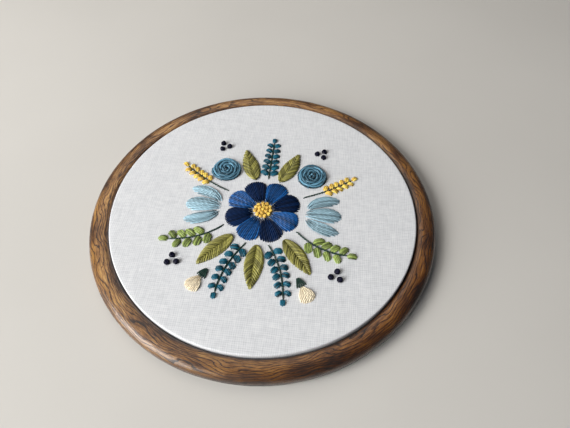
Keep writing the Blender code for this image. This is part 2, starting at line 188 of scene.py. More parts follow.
def oak_printed_vinyl():
    """Soft vinyl under a clear satin coat, printed with the dark lines and pale patches of oak.

    The growth lines stand 1.3 mm apart as on the real ring. Its pores are finer than the picture
    shows, so they are drawn 0.3 mm wide, and they are duller and lower than the skin round them.
    Shade is painted into its colour: it darkens in the groove beside the cloth, at the foot, and towards
    one side, most of all low on that side's wall.
    """
    material, tree, shader = new_material("oak_printed_vinyl", Roughness=0.34, IOR=1.53,
                                          Coat_Weight=0.5, Coat_Roughness=0.24, Coat_IOR=1.5)
    grain = add(tree, "Attribute", {}, attribute_name="grain").outputs["Vector"]
    across = add(tree, "SeparateXYZ", {0: grain}).outputs["Z"]
    swell_place = add(tree, "Mapping", {0: grain, "Scale": SWELL_RATE})
    swell = add(tree, "TexNoise", {"Vector": swell_place, "Scale": 1.0, "Detail": 1.0})
    waver_place = add(tree, "Mapping", {0: grain, "Scale": WAVER_RATE})
    waver = add(tree, "TexNoise", {"Vector": waver_place, "Scale": 1.0, "Detail": 2.5})
    growth = add(tree, "Math", {0: across, 1: GROWTH_LINES}, operation="MULTIPLY")
    growth = add(tree, "Math", {0: swell, 1: GROWTH_SWELL, 2: growth}, operation="MULTIPLY_ADD")
    growth = add(tree, "Math", {0: waver, 1: GROWTH_WAVER, 2: growth}, operation="MULTIPLY_ADD")
    growth = add(tree, "Math", {0: growth}, operation="FRACT")
    early_wood = add(tree, "ValToRGB", {0: growth}, stops=[
        (0.0, "FFFFFF"), (0.12, "C8C8C8"), (0.32, "000000"), (0.95, "000000"), (1.0, "FFFFFF"),
    ])
    patch_place = add(tree, "Mapping", {0: grain, "Location": PATCH_SHIFT, "Scale": PATCH_RATE})
    patch = add(tree, "TexNoise", {"Vector": patch_place, "Scale": 1.0, "Detail": 2.0})
    pore_place = add(tree, "Mapping", {0: grain, "Scale": PORE_RATE})
    pore = add(tree, "TexNoise", {"Vector": pore_place, "Scale": 1.0, "Detail": 3.0, "Roughness": 0.62})
    pores = add(tree, "Math", {0: early_wood, 1: EARLY_WOOD_SHARE, 2: pore}, operation="MULTIPLY_ADD")
    pores = add(tree, "Math", {0: patch, 1: PATCH_SHARE, 2: pores}, operation="MULTIPLY_ADD")
    wood = add(tree, "ValToRGB", {0: pores}, stops=[
        (0.02, "D8A864"), (0.15, "B4803E"), (0.26, "8E5E28"), (0.37, "5A3817"), (0.52, "351F0C"),
    ])
    fibre_place = add(tree, "Mapping", {0: grain, "Scale": FIBRE_RATE})
    fibre = add(tree, "TexNoise", {"Vector": fibre_place, "Scale": 1.0, "Detail": 3.0, "Roughness": 0.7})
    fibres = add(tree, "ValToRGB", {0: fibre}, stops=[(0.34, "94765A"), (0.62, "FFFFFF")])
    patches = add(tree, "ValToRGB", {0: patch}, stops=[(0.36, "8C6C4C"), (0.56, "FFFFFF")])
    up_the_wall = add(tree, "MapRange", {
        0: across, "From Min": RING_WALL_LOW, "From Max": RING_INNER_EDGE,
    })
    # Painted shade: the colour darkens low on the outer wall and in the groove beside the cloth.
    foot_and_groove_shade = add(tree, "ValToRGB", {0: up_the_wall}, stops=[
        (0.0, "6E5C4C"), (0.65, "FFFFFF"), (0.83, "FFFFFF"), (0.97, "6A4E3A"),
    ])
    # Painted shade: the colour darkens towards one side of the ring.
    shade_way = add(tree, "VectorMath", {0: grain, 1: RING_SHADE_SIDE}, operation="DOT_PRODUCT")
    side_shade = add(tree, "MapRange", {
        0: shade_way.outputs["Value"], "From Min": RING_SHADE_START, "From Max": RING_SHADE_END,
    })
    painted_side_shade = add(tree, "ValToRGB", {0: side_shade}, stops=[(0.0, "FFFFFF"), (1.0, "B8A48F")])
    # Painted shade: darker still low on the outer wall of that side.
    down_the_wall = add(tree, "MapRange", {
        0: across, "From Min": RING_CREST_PLACE, "From Max": RING_WALL_LOW,
    })
    low_wall_shade = add(tree, "Math", {0: side_shade, 1: down_the_wall}, operation="MULTIPLY")
    painted_wall_shade = add(tree, "ValToRGB", {0: low_wall_shade}, stops=[(0.0, "FFFFFF"), (1.0, "9C8570")])
    # The fibres and patches of the print, then the painted shade, each multiply the colour.
    print_and_shade_layers = ((0.8, fibres), (0.55, patches), (1.0, foot_and_groove_shade), (1.0, painted_side_shade), (1.0, painted_wall_shade))
    print_and_shade_colour = wood
    for share, ink in print_and_shade_layers:
        print_and_shade_colour = add(tree, "MixRGB", {0: share, 1: print_and_shade_colour, 2: ink}, blend_type="MULTIPLY")
    bump = add(tree, "Bump", {"Height": pores, "Strength": 1.0, "Distance": 0.00015}, invert=True)
    gloss = add(tree, "MapRange", {
        0: pores, "From Min": 0.05, "From Max": 0.4, "To Min": 0.26, "To Max": 0.6,
    })
    feed(tree, shader, Base_Color=print_and_shade_colour, Normal=bump, Roughness=gloss)
    return material


ring_middle = (RING_BORE + RING_RADIUS) / 2
ring_profile = arc((RING_BORE + RING_BORE_CORNER, RING_BORE_CORNER), (RING_BORE_CORNER,) * 2,
                   180, 270, 5)
ring_profile += arc((RING_RADIUS - RING_FOOT_CORNER, RING_FOOT_CORNER), (RING_FOOT_CORNER,) * 2,
                    270, 360, 8)
ring_profile += arc((ring_middle, RING_WAIST), (RING_RADIUS - ring_middle, RING_CREST - RING_WAIST),
                    0, 90, 20, RING_FULLNESS)
ring_profile += arc((ring_middle, RING_WAIST), (ring_middle - RING_BORE, RING_CREST - RING_WAIST),
                    90, 180, 20, RING_BORE_FULLNESS)[1:]
outer_ring = turned_ring("outer_ring_vinyl", ring_profile, RING_STEPS, RING_RELIEF, oak_printed_vinyl())
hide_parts("outer_ring")


# Inner ring
# A stiff ring moulded in ivory plastic, flat on its inner face and round at its corners. The cloth is
# drawn over it, so only its foot and its inner face are seen, from behind.
SHEET_THICKNESS = 0.5
INNER_RING_WALL = 4.2
INNER_RING_GAP = 0.1  # between the ring and the cloth
INNER_RING_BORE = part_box("inner_ring")[1][0] / MM - INNER_RING_WALL
INNER_RING_RADIUS = CLOTH_RADIUS - SHEET_THICKNESS - INNER_RING_GAP
INNER_RING_FOOT = 0.5
INNER_RING_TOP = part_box("cloth")[1][2] / MM - SHEET_THICKNESS - INNER_RING_GAP
INNER_RING_CORNER, INNER_RING_SHOULDER = 0.8, 0.5
INNER_RING_STEPS = 360
FLOW_RATE = (0.1, 0.1, 0.4)  # changes of tint in a millimetre, along the ring (x, y) and across (z)


def moulded_ivory_plastic():
    """ABS moulded in a lightly textured tool: an even ivory with a soft sheen."""
    material, tree, shader = new_material("moulded_ivory_abs", Roughness=0.4, IOR=1.53)
    grain = add(tree, "Attribute", {}, attribute_name="grain").outputs["Vector"]
    flow_place = add(tree, "Mapping", {0: grain, "Scale": FLOW_RATE})
    flow = add(tree, "TexNoise", {"Vector": flow_place, "Scale": 1.0, "Detail": 3.0})
    tint = add(tree, "ValToRGB", {0: flow}, stops=[(0.3, "DED8CA"), (0.7, "ECE8DD")])
    spark = add(tree, "TexNoise", {"Vector": grain, "Scale": 2.0, "Detail": 2.0})
    bump = add(tree, "Bump", {"Height": spark, "Strength": 0.25, "Distance": 0.00005})
    feed(tree, shader, Base_Color=tint, Normal=bump)
    return material


inner_profile = []
for radius, height, corner, start in (
    (INNER_RING_RADIUS, INNER_RING_TOP, INNER_RING_SHOULDER, 0),
    (INNER_RING_BORE, INNER_RING_TOP, INNER_RING_CORNER, 90),
    (INNER_RING_BORE, INNER_RING_FOOT, INNER_RING_CORNER, 180),
    (INNER_RING_RADIUS, INNER_RING_FOOT, INNER_RING_CORNER, 270),
):
    inward = -1 if radius == INNER_RING_RADIUS else 1
    downward = -1 if height == INNER_RING_TOP else 1
    inner_profile += arc((radius + inward * corner, height + downward * corner), (corner, corner),
                         start, start + 90, 6)
inner_ring = turned_ring("inner_ring_abs", inner_profile, INNER_RING_STEPS, 0.0, moulded_ivory_plastic())
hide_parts("inner_ring")


# Cloth
# One round of white cotton evenweave, 163 mm across before it is hooped. It is drawn drum-tight over
# the inner ring, bends down over its edge between the two rings, and is trimmed close to the back.
CLOTH_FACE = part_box("cloth")[1][2] / MM
CLOTH_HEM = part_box("cloth")[0][2] / MM
CLOTH_ROLL = 0.7
CLOTH_SQUARES = 72  # across the flat part, which is a quarter of the steps round its edge
CLOTH_RIPPLE = 0.05
RIPPLE_RATE, RIPPLE_LAYER = 0.09, 0.4  # ripples in a millimetre, and the layer of noise they come from
RIPPLE_FADE = 6  # the more, the closer to the rim the ripples reach
WEAVE_PITCH = 0.9  # the real threads repeat every 0.75 mm, too fine for the picture to show
WEAVE_WANDER = 0.8  # how far the threads stray from straight
THREAD_LEVEL, THREAD_BEAT = 0.65, 0.35  # how high a thread lies, and how far it goes over and under
SLUB_ACROSS, SLUB_ALONG = 1.5, 0.2  # thick places in a millimetre, across and along a thread
GROOVE_SHADE_SHARE, SLUB_SHARE = 0.28, 0.48  # how much painted shade darkens the grooves between threads, and what slubs do to the white


def ripple(x, y):
    """How far the stretched cloth is off flat at a place, most in the middle and none at its rim."""
    inside = max(0.0, 1 - (math.hypot(x, y) / (CLOTH_RADIUS - CLOTH_ROLL)) ** RIPPLE_FADE)
    return CLOTH_RIPPLE * inside * noise.noise(Vector((x * RIPPLE_RATE, y * RIPPLE_RATE, RIPPLE_LAYER)))


def cloth_side(flat_radius, face, rim):
    """One side of the cloth: a disc of squares, then rings down its rim. Gives points and weave places.

    The weave place of a point is where it lay on the flat cloth.
    """
    points, weave = [], []
    half = CLOTH_SQUARES // 2
    for i in range(CLOTH_SQUARES + 1):
        for j in range(CLOTH_SQUARES + 1):
            a, b = i / half - 1, j / half - 1
            if a == b == 0:
                radius, angle = 0.0, 0.0
            elif abs(a) > abs(b):
                radius, angle = a, math.pi / 4 * b / a
            else:
                radius, angle = b, math.pi / 2 - math.pi / 4 * a / b
            x, y = flat_radius * radius * math.cos(angle), flat_radius * radius * math.sin(angle)
            points.append((x, y, face + ripple(x, y)))
            weave.append((x, y, 0.0))
    steps = CLOTH_SQUARES * 4
    laid, last = flat_radius, (flat_radius, face)
    for radius, height in rim:
        laid += math.dist(last, (radius, height))
        last = (radius, height)
        for i in range(steps):
            angle = math.tau * (i / steps - 1 / 8)
            x, y = math.cos(angle), math.sin(angle)
            points.append((radius * x, radius * y, height))
            weave.append((laid * x, laid * y, 0.0))
    return points, weave


def cloth_side_faces(first, rings, flip):
    """Corners of one side's faces, counted from its first point, and of its last ring of points."""
    side, steps = CLOTH_SQUARES + 1, CLOTH_SQUARES * 4
    faces = []
    for i in range(CLOTH_SQUARES):
        for j in range(CLOTH_SQUARES):
            corner = first + i * side + j
            faces.append((corner, corner + side, corner + side + 1, corner + 1))
    last = CLOTH_SQUARES
    edge = [last * side + j for j in range(last)] + [(last - i) * side + last for i in range(last)]
    edge += [last - j for j in range(last)] + [i * side for i in range(last)]
    edge = [first + i for i in edge]
    for n in range(rings):
        ring = [first + side * side + n * steps + i for i in range(steps)]
        for i in range(steps):
            k = (i + 1) % steps
            faces.append((edge[i], ring[i], ring[k], edge[k]))
        edge = ring
    if flip:
        faces = [face[::-1] for face in faces]
    return faces, edge


def cotton_evenweave():
    """White cotton in plain weave: matt, with soft grooves between threads that differ a little. Shade is
    painted into the grooves.
    """
    material, tree, shader = new_material("cotton_evenweave", Roughness=0.88, IOR=1.47,
                                          Sheen_Weight=0.15, Sheen_Roughness=0.5)
    weave = add(tree, "Attribute", {}, attribute_name="weave").outputs["Vector"]
    drift = add(tree, "TexNoise", {"Vector": weave, "Scale": 0.1, "Detail": 2.0}).outputs["Color"]
    bent = add(tree, "VectorMath", {0: drift, 1: (WEAVE_WANDER,) * 3, 2: weave}, operation="MULTIPLY_ADD")
    threads = add(tree, "VectorMath", {0: bent, "Scale": 1 / WEAVE_PITCH}, operation="SCALE")
    split = add(tree, "SeparateXYZ", {0: threads})
    crowns = []
    for along, over in (("X", "Y"), ("Y", "X")):
        place = add(tree, "Math", {0: split.outputs[along]}, operation="FRACT")
        place = add(tree, "Math", {0: place, 1: math.pi}, operation="MULTIPLY")
        crown = add(tree, "Math", {0: place}, operation="SINE")
        thread = add(tree, "Math", {0: split.outputs[along]}, operation="FLOOR")
        beat = add(tree, "Math", {0: split.outputs[over], 1: thread}, operation="ADD")
        beat = add(tree, "Math", {0: beat, 1: math.pi}, operation="MULTIPLY")
        beat = add(tree, "Math", {0: beat}, operation="SINE")
        rise = THREAD_BEAT if along == "X" else -THREAD_BEAT
        beat = add(tree, "Math", {0: beat, 1: rise, 2: THREAD_LEVEL}, operation="MULTIPLY_ADD")
        crowns.append(add(tree, "Math", {0: crown, 1: beat}, operation="MULTIPLY"))
    height = add(tree, "Math", {0: crowns[0], 1: crowns[1]}, operation="ADD")
    slubs = []
    for rates in ((SLUB_ACROSS, SLUB_ALONG, 1.0), (SLUB_ALONG, SLUB_ACROSS, 1.0)):
        slub_place = add(tree, "Mapping", {0: bent, "Scale": rates})
        slubs.append(add(tree, "TexNoise", {"Vector": slub_place, "Scale": 1.0, "Detail": 2.0}))
    slub = add(tree, "Math", {0: slubs[0], 1: slubs[1]}, operation="ADD")
    # Painted shade: the colour darkens where the weave is low, between the threads.
    tone_and_shade = add(tree, "Math", {0: height, 1: GROOVE_SHADE_SHARE}, operation="MULTIPLY")
    tone_and_shade = add(tree, "Math", {0: slub, 1: SLUB_SHARE, 2: tone_and_shade}, operation="MULTIPLY_ADD")
    tint = add(tree, "ValToRGB", {0: tone_and_shade}, stops=[
        (0.45, "D2D4D8"), (0.72, "E4E6EA"), (0.98, "F4F5F7"),
    ])
    bump = add(tree, "Bump", {"Height": height, "Strength": 0.15, "Distance": 0.0001})
    feed(tree, shader, Base_Color=tint, Normal=bump)
    return material


rim_points, rim_weave, rim_faces, hems = [], [], [], []
for inset in (0.0, SHEET_THICKNESS):
    roll = CLOTH_ROLL - inset
    bend = (CLOTH_RADIUS - CLOTH_ROLL, CLOTH_FACE - CLOTH_ROLL)
    rim = arc(bend, (roll, roll), 90, 0, 9)[1:]
    rim += [(CLOTH_RADIUS - inset, z) for z in np.linspace(bend[1], CLOTH_HEM, 5)[1:]]
    side_points, side_weave = cloth_side(bend[0], CLOTH_FACE - inset, rim)
    side_faces, hem = cloth_side_faces(len(rim_points), len(rim), inset > 0)
    rim_points += side_points
    rim_weave += side_weave
    rim_faces += side_faces
    hems.append(hem)
for i in range(len(hems[0])):
    k = (i + 1) % len(hems[0])
    rim_faces.append((hems[0][i], hems[1][i], hems[1][k], hems[0][k]))
cloth = add_piece("cloth_evenweave", rim_points, rim_faces, cotton_evenweave(), "weave", rim_weave)
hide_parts("cloth")


# Daisy petals
# Eight petals in satin stitch, navy and royal blue in turn. Threads of cotton floss lie side by side
# from the heart to the rounded edge of each petal, and go down through the cloth at both ends. All
# the motifs' threads are drawn 0.9 mm wide, as two or three real strands would be too fine to show.
DESIGN_MIDDLE = np.array([0.0, -3.0])
PETAL_COUNT = 8
PETAL_HALF_ANGLE = math.pi / PETAL_COUNT
PETAL_START, PETAL_END = 5.6, 19.2
PETAL_HALF_WIDTH = 5.6
PETAL_CROWN = 0.45  # how far padding lifts the stitches in the middle of a motif
PETAL_SHOULDER = 0.65  # share of a petal from which its tip is round
PETAL_BASE_OPENING = 0.42  # share of its full width that a daisy petal has at the heart
FLOSS_WIDTH, FLOSS_THICKNESS = 0.9, 0.7
FLOSS_SIDES = 10
FLOSS_STRANDS = 3
FLOSS_SINK = 0.3  # how far below the cloth's face the ends of a stitch go
FLOSS_TWIST = 2.4  # length in which the strands of the floss turn once
STREAK_RATE = (0.3, 7.0, 40.0)  # streaks along a thread, round it, and from one shade to the next
SHADE_SHARE, STREAK_SHARE, SIDE_SHADE_SHARE = 0.5, 0.35, 0.35  # what the stitch's shade, streaks and the painted shade down a thread's sides each do to its tone
BASE_SHADE = 0.4  # how light a thread is before it differs by the stitch, from 0 to 1
BACK_POINTS, BACK_THICKNESS, BACK_WAVE = 6, 0.3, 0.02  # of the stitches behind the cloth
BACK_SHADE, PADDING_GAP_SHADE = -0.1, -0.3  # how much darker the stitches behind the cloth are, and the padding, painted darker as the shade in the gaps between stitches
PADDING_ROWS = (-0.66, -0.33, 0.0, 0.33, 0.66)  # across a motif, as shares of its half width
PADDING_THICKNESS, PADDING_DROP = 0.5, -0.12
SATIN_STAGGER = (0.0, 0.14, 0.05, 0.2)  # share of the petal by which each stitch in turn starts later
SATIN_REACH = 0.96  # how near the petal's widest place the last stitch on each side comes
SATIN_OVERLAP = 1.12  # width of a stitch as a share of the room that it has
CROWN_FALL = 0.8  # how much lower a motif's padding is at its edge
STITCH_SHARES = np.array([0.0, 0.035, 0.1, 0.26, 0.5, 0.74, 0.9, 0.965, 1.0])  # points along a stitch
NAVY, ROYAL = "051C3E", "0A4B88"


def stranded_cotton(shade_name, hex_colour, spread=0.6, shine=0.4):
    """Mercerised cotton floss in one colour: silky, twisted, lighter or darker by the stitch, with shade
    painted down the sides of each thread.
    """
    material, tree, shader = new_material(
        shade_name + "_stranded_cotton", Roughness=0.42, IOR=1.53, Specular_IOR_Level=shine,
        Sheen_Weight=shine / 3, Sheen_Roughness=0.35, Sheen_Tint=linear_colour(hex_colour, 2.0))
    floss = add(tree, "Attribute", {}, attribute_name="floss").outputs["Vector"]
    split = add(tree, "SeparateXYZ", {0: floss})
    streak_place = add(tree, "Mapping", {0: floss, "Scale": STREAK_RATE})
    streak = add(tree, "TexNoise", {"Vector": streak_place, "Scale": 1.0, "Detail": 2.0})
    # Painted shade: each thread is lighter on its top and darker down its sides.
    crown = add(tree, "Math", {0: split.outputs["Y"], 1: math.pi, 2: math.pi / 2 / FLOSS_SIDES},
                operation="MULTIPLY_ADD")
    crown = add(tree, "Math", {0: crown}, operation="SINE")
    tone_and_shade = add(tree, "Math", {0: split.outputs["Z"], 1: SHADE_SHARE}, operation="MULTIPLY")
    tone_and_shade = add(tree, "Math", {0: streak, 1: STREAK_SHARE, 2: tone_and_shade}, operation="MULTIPLY_ADD")
    tone_and_shade = add(tree, "Math", {0: crown, 1: SIDE_SHADE_SHARE, 2: tone_and_shade}, operation="MULTIPLY_ADD")
    tint = add(tree, "ValToRGB", {0: tone_and_shade}, stops=[
        (0.42, linear_colour(hex_colour, 1 - spread)), (0.66, linear_colour(hex_colour)),
        (0.90, linear_colour(hex_colour, 1 + spread)),
    ])
    strand = add(tree, "Math", {0: split.outputs["Y"], 1: FLOSS_STRANDS}, operation="MULTIPLY")
    strand = add(tree, "Math", {0: split.outputs["X"], 1: 1 / FLOSS_TWIST, 2: strand},
                 operation="MULTIPLY_ADD")
    strand = add(tree, "Math", {0: strand, 1: math.tau}, operation="MULTIPLY")
    strand = add(tree, "Math", {0: strand}, operation="SINE")
    bump = add(tree, "Bump", {"Height": strand, "Strength": 0.5, "Distance": 0.00008})
    feed(tree, shader, Base_Color=tint, Normal=bump)
    return material


def design_point(angle, distance, side=1):
    """A point at this angle and distance from the daisy's middle, or its mirror image for side -1."""
    around = math.radians(angle)
    x, y = DESIGN_MIDDLE + distance * np.array([math.cos(around), math.sin(around)])
    return np.array([side * x, y])


def bent_line(base, bend, tip, count=33):
    """Points along the curve from base to tip that the point bend pulls sideways."""
    t = np.linspace(0, 1, count)[:, None]
    return base * (1 - t) ** 2 + bend * 2 * t * (1 - t) + tip * t ** 2


def off_line(line, share, across):
    """The point at this share of a line, moved across it to the left by a distance."""
    spot = share * (len(line) - 1)
    i = min(max(int(spot), 0), len(line) - 2)
    step = line[i + 1] - line[i]
    left = np.array([-step[1], step[0]]) / np.linalg.norm(step)
    return line[i] + step * (spot - i) + across * left


def stitch(flat_points, width, crown, shade, thickness=FLOSS_THICKNESS):
    """A stitch over points on the cloth, one for each of STITCH_SHARES, that rises to its crown."""
    arch = (1 - np.abs(2 * STITCH_SHARES - 1) ** 4) ** 0.8
    heights = CLOTH_FACE - FLOSS_SINK + (FLOSS_SINK + thickness / 2 + crown) * arch
    points = np.column_stack([np.asarray(flat_points), heights])
    squeeze = 0.6 + 0.4 * arch
    return points, width * squeeze, thickness * squeeze, shade


def straight_stitch(start, end, width, crown, shade, thickness=FLOSS_THICKNESS):
    """A stitch straight from one place on the cloth to another."""
    shares = STITCH_SHARES[:, None]
    return stitch(start * (1 - shares) + end * shares, width, crown, shade, thickness)


def stitch_back(middle, widths, thicknesses, shade):
    """The stitch that carries a thread on behind the cloth: the same run, thin and flat against it."""
    kept = np.linspace(0, len(middle) - 1, BACK_POINTS).round().astype(int)
    points = np.array(middle)[kept]
    behind = CLOTH_FACE - SHEET_THICKNESS - BACK_THICKNESS / 2
    points[:, 2] = behind - BACK_WAVE * (np.arange(BACK_POINTS) % 2)
    flat_widths = np.minimum(np.ones(len(middle)) * widths, FLOSS_WIDTH)[kept]
    return points, flat_widths, BACK_THICKNESS, shade + BACK_SHADE


def sew(name, threads, material, slot, *nodes):
    """Makes one piece of threads, each a closed tube along its points, in place of these CAD nodes.

    Each thread has its stitch behind the cloth as well.
    """
    threads = threads + [stitch_back(*thread) for thread in threads]
    turn = math.tau * (np.arange(FLOSS_SIDES) + 0.5) / FLOSS_SIDES - math.pi / 2
    points, floss, faces = [], [], []
    first = 0
    for middle, widths, thicknesses, shade in threads:
        count = len(middle)
        ahead = np.gradient(middle, axis=0)
        ahead /= np.linalg.norm(ahead, axis=1, keepdims=True)
        right = np.cross(ahead, (0.0, 0.0, 1.0))
        right /= np.linalg.norm(right, axis=1, keepdims=True)
        up = np.cross(right, ahead)
        across = (np.ones(count) * widths / 2)[:, None, None] * right[:, None] * np.cos(turn)[:, None]
        above = (np.ones(count) * thicknesses / 2)[:, None, None] * up[:, None] * np.sin(turn)[:, None]
        points.append((middle[:, None] + across + above).reshape(-1, 3))
        run = np.concatenate([[0.0], np.cumsum(np.linalg.norm(np.diff(middle, axis=0), axis=1))])
        mark = np.empty((count, FLOSS_SIDES, 3))
        mark[..., 0] = run[:, None]
        mark[..., 1] = (np.arange(FLOSS_SIDES) / FLOSS_SIDES)[None]
        mark[..., 2] = shade
        floss.append(mark.reshape(-1, 3))
        for i in range(count - 1):
            near, far = first + i * FLOSS_SIDES, first + (i + 1) * FLOSS_SIDES
            for j in range(FLOSS_SIDES):
                k = (j + 1) % FLOSS_SIDES
                faces.append((near + j, far + j, far + k, near + k))
        last = first + (count - 1) * FLOSS_SIDES
        faces.append(tuple(range(first, first + FLOSS_SIDES)))
        faces.append(tuple(range(last + FLOSS_SIDES - 1, last - 1, -1)))
        first = last + FLOSS_SIDES
    piece = add_piece(name, np.concatenate(points), faces, material, "floss", np.concatenate(floss))
    if nodes:
        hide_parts(*nodes)
    return piece


def padding(line, half_widths, ends):
    """Flat stitches laid first along a motif, under its satin, so that no cloth shows through; painted
    darker as shade in the gaps.
    """
    begin, end = ends
    threads = []
    for u in PADDING_ROWS:
        inset = 0.22 * abs(u) * (end - begin)
        shares = begin + inset + (end - begin - 2 * inset) * STITCH_SHARES
        reach = [half_widths(share) for share in shares]
        path = [off_line(line, share, u * half) for share, half in zip(shares, reach)]
        widths = np.maximum(0.5, 0.4 * np.array(reach))
        threads.append(stitch(path, widths, PADDING_DROP, BASE_SHADE + PADDING_GAP_SHADE, PADDING_THICKNESS))
    return threads


def satin_petal(line, half_widths, start, chance, crown=PETAL_CROWN, width=FLOSS_WIDTH):
    """Satin stitches along a petal that opens from its base and ends in a round tip.

    half_widths gives the petal's half width at a share of its line. Every other stitch starts
    further out, because the base has no room for all of them.
    """
    widest = half_widths(PETAL_SHOULDER)
    count = max(3, round(2 * widest / width))
    threads = padding(line, half_widths, (start + 0.05, 0.96))
    for n in range(count):
        u = (2 * n + 1) / count - 1
        begin = start + SATIN_STAGGER[n % 4] + chance.uniform(0.0, 0.03)
        end = PETAL_SHOULDER + (1 - PETAL_SHOULDER) * math.sqrt(1 - (u * SATIN_REACH) ** 2)
        end -= chance.uniform(0.0, 0.012)
        shares = begin + (end - begin) * STITCH_SHARES
        reach = np.array([half_widths(min(share, PETAL_SHOULDER)) for share in shares])
        path = [off_line(line, share, u * half) for share, half in zip(shares, reach)]
        room = np.maximum(0.5, SATIN_OVERLAP * 2 * reach / count)
        lift = crown * math.sqrt(1 - CROWN_FALL * u * u)
        threads.append(stitch(path, room, lift, BASE_SHADE + chance.uniform(-0.45, 0.45)))
    return threads


def daisy_half_width(share):
    """Half width of a daisy petal at a share of its length, inside its eighth of the flower."""
    reach = PETAL_START + (PETAL_END - PETAL_START) * share
    opened = math.sin(math.pi / 2 * min(1.0, max(0.0, share) / PETAL_SHOULDER))
    opening = PETAL_BASE_OPENING + (1 - PETAL_BASE_OPENING) * opened
    return min(PETAL_HALF_WIDTH * opening, reach * math.tan(PETAL_HALF_ANGLE) - 0.1)


# The two blues in turn are two flosses, and also stand for the sheen that makes one petal look darker
# than the next: partly painted light and shade.
navy_floss = stranded_cotton("navy", NAVY, 0.7, 0.15)
royal_floss = stranded_cotton("royal", ROYAL, 0.7)
for i in range(PETAL_COUNT):
    petal_name = f"daisy_petal_{i + 1}"
    angle = 360 * (i + 0.5) / PETAL_COUNT
    petal_line = np.linspace(design_point(angle, PETAL_START), design_point(angle, PETAL_END), 33)
    petal_threads = satin_petal(petal_line, daisy_half_width, -0.12, random.Random(petal_name))
    floss_kind = (navy_floss, royal_floss)[i % 2]
    floss_slot = ("navy_thread", "royal_thread")[i % 2]
    sew(petal_name + "_satin", petal_threads, floss_kind, floss_slot, petal_name)


# Daisy heart
# Gold French knots, each two turns of floss round the needle, set close together over the petals'
# ends and piled a little higher towards the middle.
KNOT_TURNS, KNOT_POINTS = 2.1, 22
KNOT_THREAD = 0.92  # width of the thread as a share of the knot's radius
HEART_RINGS = ((1, 0.0), (6, 1.95), (11, 3.75))  # knots in each ring, and its radius
HEART_KNOT = 1.12  # radius of a knot
HEART_HEIGHT, HEART_SLOPE = 0.75, 0.12  # of the pile in the middle, and its fall for each millimetre out


def french_knot(place, radius, base, chance):
    """A knot of this radius: floss wound round on the cloth, then up and over into its own middle."""
    width = radius * KNOT_THREAD
    share = np.linspace(0, 1, KNOT_POINTS)
    wind = chance.uniform(0, math.tau) + math.tau * KNOT_TURNS * share
    ring = (radius - width / 2) * np.interp(share, [0, 0.5, 0.8, 1], [1.0, 0.96, 0.62, 0.1])
    rise = width * np.interp(share, [0, 0.12, 0.5, 0.8, 1], [0.12, 0.28, 0.55, 0.95, 0.6])
    points = np.column_stack([
        place[0] + ring * np.cos(wind), place[1] + ring * np.sin(wind), CLOTH_FACE + base + rise,
    ])
    return points, width, width * 0.85, BASE_SHADE + chance.uniform(-0.2, 0.2)


gold_floss = stranded_cotton("gold", "EEC25A", 0.45)
chance = random.Random("daisy_heart")
heart_knots = []
for count, distance in HEART_RINGS:
    turn_by = chance.uniform(0, 360)
    for n in range(count):
        place = design_point(turn_by + 360 * (n + chance.uniform(-0.1, 0.1)) / count,
                             distance + chance.uniform(-0.15, 0.15))
        heart_knots.append(french_knot(place, HEART_KNOT, HEART_HEIGHT - HEART_SLOPE * distance, chance))
sew("daisy_heart_knots", heart_knots, gold_floss, "gold_thread", "daisy_heart")


# Tulips
# Two flowers seen from the side, each of three satin petals in pale blue that open outwards. The
# middle petal lies between the other two.
TULIP_ANGLE, TULIP_START = 0.5, 20.0
# Each petal's base, bend and tip, ahead of the tulip's base and to its left, and its half width.
TULIP_PETALS = (
    ("mid", (0.6, 0.0), (9.0, 0.0), (19.0, 0.0), 4.2),
    ("upper", (1.8, 2.6), (5.0, 8.8), (18.0, 9.6), 3.1),
    ("lower", (1.8, -2.6), (5.0, -8.8), (18.0, -9.6), 3.1),
)
SIDES = ((-1, "left"), (1, "right"))


def open_half_width(half_width):
    """Half width at a share of a petal that opens from a quarter of it to all of it."""
    def opened(share):
        return half_width * (0.25 + 0.75 * math.sin(math.pi / 2 * min(1.0, share / PETAL_SHOULDER)))
    return opened


pale_blue_floss = stranded_cotton("pale_blue", "8CABB9", 0.6)
tulip_base = design_point(TULIP_ANGLE, TULIP_START)
tulip_ahead = (tulip_base - DESIGN_MIDDLE) / np.linalg.norm(tulip_base - DESIGN_MIDDLE)
tulip_left = np.array([-tulip_ahead[1], tulip_ahead[0]])
for side, side_name in SIDES:
    for petal, *corners, half_width in TULIP_PETALS:
        petal_name = f"tulip_{side_name}_{petal}"
        spots = [tulip_base + tulip_ahead * a + tulip_left * b for a, b in corners]
        petal_line = bent_line(*[spot * np.array([side, 1]) for spot in spots])
        chance = random.Random(petal_name)
        petal_threads = satin_petal(petal_line, open_half_width(half_width), 0.0, chance)
        sew(petal_name + "_satin", petal_threads, pale_blue_floss, "pale_blue_thread", petal_name)


# Roses
# Two woven wheel roses in dusty blue. Seven spokes are laid first, and a double thread is then woven
# over and under them from the middle outwards, which leaves a raised round flower.
ROSE_ANGLE, ROSE_DISTANCE = 47.0, 33.0
ROSE_RADIUS = 8.0
ROSE_SPOKES = 7
ROSE_FILL_SPACING, ROSE_FILL_WIDTH = 0.9, 1.3  # of the rings of thread that fill in between the spokes, at the darkest shade as painted shade in the gaps
ROSE_TURNS, ROSE_STEPS = 6.5, 56  # turns of the weaving, and points in each
ROSE_THREAD, ROSE_THREAD_THICKNESS = 1.1, 0.85
ROSE_START = 0.5  # radius at which the weaving starts
ROSE_DOME, ROSE_WEAVE = 0.95, 0.4  # rise of the flower's middle, and of the thread over a spoke
ROSE_SWAY = 0.12  # how uneven the turns are
ROSE_PARTS = 11  # lengths of thread that differ a little in shade

